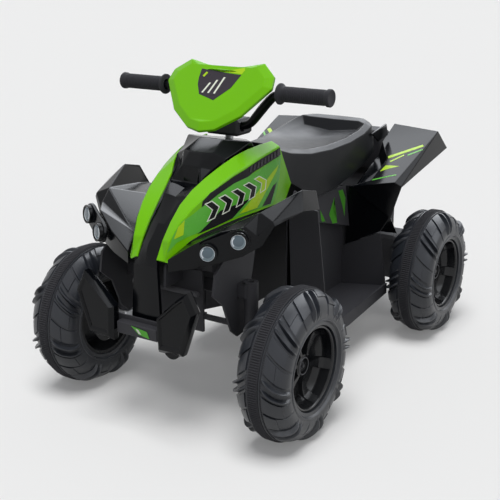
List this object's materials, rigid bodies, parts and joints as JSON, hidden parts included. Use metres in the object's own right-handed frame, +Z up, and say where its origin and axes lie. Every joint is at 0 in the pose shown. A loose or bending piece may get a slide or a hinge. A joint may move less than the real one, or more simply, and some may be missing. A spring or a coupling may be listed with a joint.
{
  "type": "electric ride-on quad for children",
  "caption": "Child's battery-driven ride-on quad: steered front wheels on a tie rod, saddle, footwells, faceted fenders, handlebar with number shield, driven rear wheels.",
  "frame": {"origin": "on the ground plane, under the middle of the bounding box, half way between the two axles on the plane of symmetry", "axes": "+Z up, -Y forwards (the steered end), +X to the vehicle's left"},
  "size_m": [0.6514, 1.04, 0.7225],
  "materials": {
    "lime_plastic": "glossy moulded lime plastic",
    "gloss_black": "glossy black moulded plastic",
    "matte_black": "textured black plastic",
    "seat_black": "satin black moulded saddle",
    "grip_black": "soft black grip",
    "tyre_plastic": "blow-moulded matte black",
    "band_rubber": "ribbed black rubber",
    "grey_moulding": "dark grey moulded plastic",
    "painted_tube": "black painted steel tube",
    "zinc_steel": "zinc plated steel",
    "clear_lens": "clear moulded lens"
  },
  "bodies": {
    "chassis": {"chassis_tunnel": "matte_black", "left_footwell": "matte_black", "right_footwell": "matte_black", "front_axle_carrier": "matte_black", "left_strut_cover": "matte_black", "right_strut_cover": "matte_black", "left_frame_rail": "matte_black", "right_frame_rail": "matte_black", "hood_nose": "gloss_black", "steering_tower": "gloss_black", "left_side_panel": "lime_plastic", "right_side_panel": "lime_plastic", "left_front_fender": "gloss_black", "right_front_fender": "gloss_black", "left_lamp_housing": "gloss_black", "right_lamp_housing": "gloss_black", "left_inner_lamp_lens": "clear_lens", "left_outer_lamp_lens": "clear_lens", "right_inner_lamp_lens": "clear_lens", "right_outer_lamp_lens": "clear_lens", "seat": "seat_black", "left_rear_fender": "gloss_black", "right_rear_fender": "gloss_black", "tail_cover": "matte_black", "left_bumper_pod": "gloss_black", "right_bumper_pod": "gloss_black", "bumper_crossbar": "matte_black", "rear_axle": "zinc_steel", "left_drive_unit": "grey_moulding", "right_drive_unit": "grey_moulding", "battery": "grey_moulding", "control_box": "grey_moulding", "charging_socket": "grey_moulding", "dash_panel": "gloss_black"},
    "handlebar_group": {"steering_column": "zinc_steel", "handlebar_clamp": "matte_black", "handlebar": "painted_tube", "left_grip": "grip_black", "right_grip": "grip_black", "number_shield": "lime_plastic"},
    "left_knuckle_body": {"left_knuckle": "zinc_steel"},
    "right_knuckle_body": {"right_knuckle": "zinc_steel"},
    "tie_rod_body": {"tie_rod": "matte_black"},
    "front_left_wheel": {"front_left_tyre": "tyre_plastic", "front_left_rim": "matte_black", "front_left_traction_band": "band_rubber"},
    "front_right_wheel": {"front_right_tyre": "tyre_plastic", "front_right_rim": "matte_black", "front_right_traction_band": "band_rubber"},
    "rear_left_wheel": {"rear_left_tyre": "tyre_plastic", "rear_left_rim": "matte_black", "rear_left_traction_band": "band_rubber"},
    "rear_right_wheel": {"rear_right_tyre": "tyre_plastic", "rear_right_rim": "matte_black", "rear_right_traction_band": "band_rubber"},
    "foot_pedal_body": {"foot_pedal": "grey_moulding"},
    "direction_rocker_body": {"direction_rocker": "grey_moulding"},
    "power_button_body": {"power_button": "lime_plastic"},
    "horn_button_body": {"horn_button": "lime_plastic"}
  },
  "joints": [
    {"name": "steering", "type": "hinge", "parent": "chassis", "child": "handlebar_group", "pos_m": [0, -0.17, 0.57], "axis": [0, 0.4297, 0.903], "range_deg": [-20, 20]},
    {"name": "left_kingpin", "type": "hinge", "parent": "chassis", "child": "left_knuckle_body", "pos_m": [0.165, -0.3457, 0.19], "axis": [0, 0, 1], "range_deg": [-20, 20]},
    {"name": "right_kingpin", "type": "hinge", "parent": "chassis", "child": "right_knuckle_body", "pos_m": [-0.165, -0.3457, 0.19], "axis": [0, 0, 1], "range_deg": [-20, 20]},
    {"name": "tie_rod_pivot", "type": "hinge", "parent": "left_knuckle_body", "child": "tie_rod_body", "pos_m": [0.165, -0.3007, 0.191], "axis": [0, 0, 1], "range_deg": [-20, 20]},
    {"name": "front_left_spin", "type": "hinge", "parent": "left_knuckle_body", "child": "front_left_wheel", "pos_m": [0.266, -0.3457, 0.158], "axis": [1, 0, 0], "continuous": true},
    {"name": "front_right_spin", "type": "hinge", "parent": "right_knuckle_body", "child": "front_right_wheel", "pos_m": [-0.266, -0.3457, 0.158], "axis": [1, 0, 0], "continuous": true},
    {"name": "rear_left_spin", "type": "hinge", "parent": "chassis", "child": "rear_left_wheel", "pos_m": [0.266, 0.3457, 0.158], "axis": [1, 0, 0], "continuous": true},
    {"name": "rear_right_spin", "type": "hinge", "parent": "chassis", "child": "rear_right_wheel", "pos_m": [-0.266, 0.3457, 0.158], "axis": [1, 0, 0], "continuous": true},
    {"name": "pedal_press", "type": "hinge", "parent": "chassis", "child": "foot_pedal_body", "pos_m": [-0.142, 0.03, 0.122], "axis": [1, 0, 0], "range_deg": [0, 8], "stiffness_Nm_per_rad": 6},
    {"name": "direction_rock", "type": "hinge", "parent": "chassis", "child": "direction_rocker_body", "pos_m": [0, -0.1251, 0.5249], "axis": [1, 0, 0], "range_deg": [-9, 9]},
    {"name": "power_press", "type": "slide", "parent": "chassis", "child": "power_button_body", "axis": [0, -0.2756, -0.9613], "range_m": [0, 0.0018], "stiffness_N_per_m": 600},
    {"name": "horn_press", "type": "slide", "parent": "chassis", "child": "horn_button_body", "axis": [0, -0.2756, -0.9613], "range_m": [0, 0.0018], "stiffness_N_per_m": 600}
  ],
  "couplings": [
    {"joint": "left_kingpin", "follows": "steering", "ratio": 1},
    {"joint": "right_kingpin", "follows": "steering", "ratio": 1},
    {"joint": "tie_rod_pivot", "follows": "steering", "ratio": -1}
  ]
}
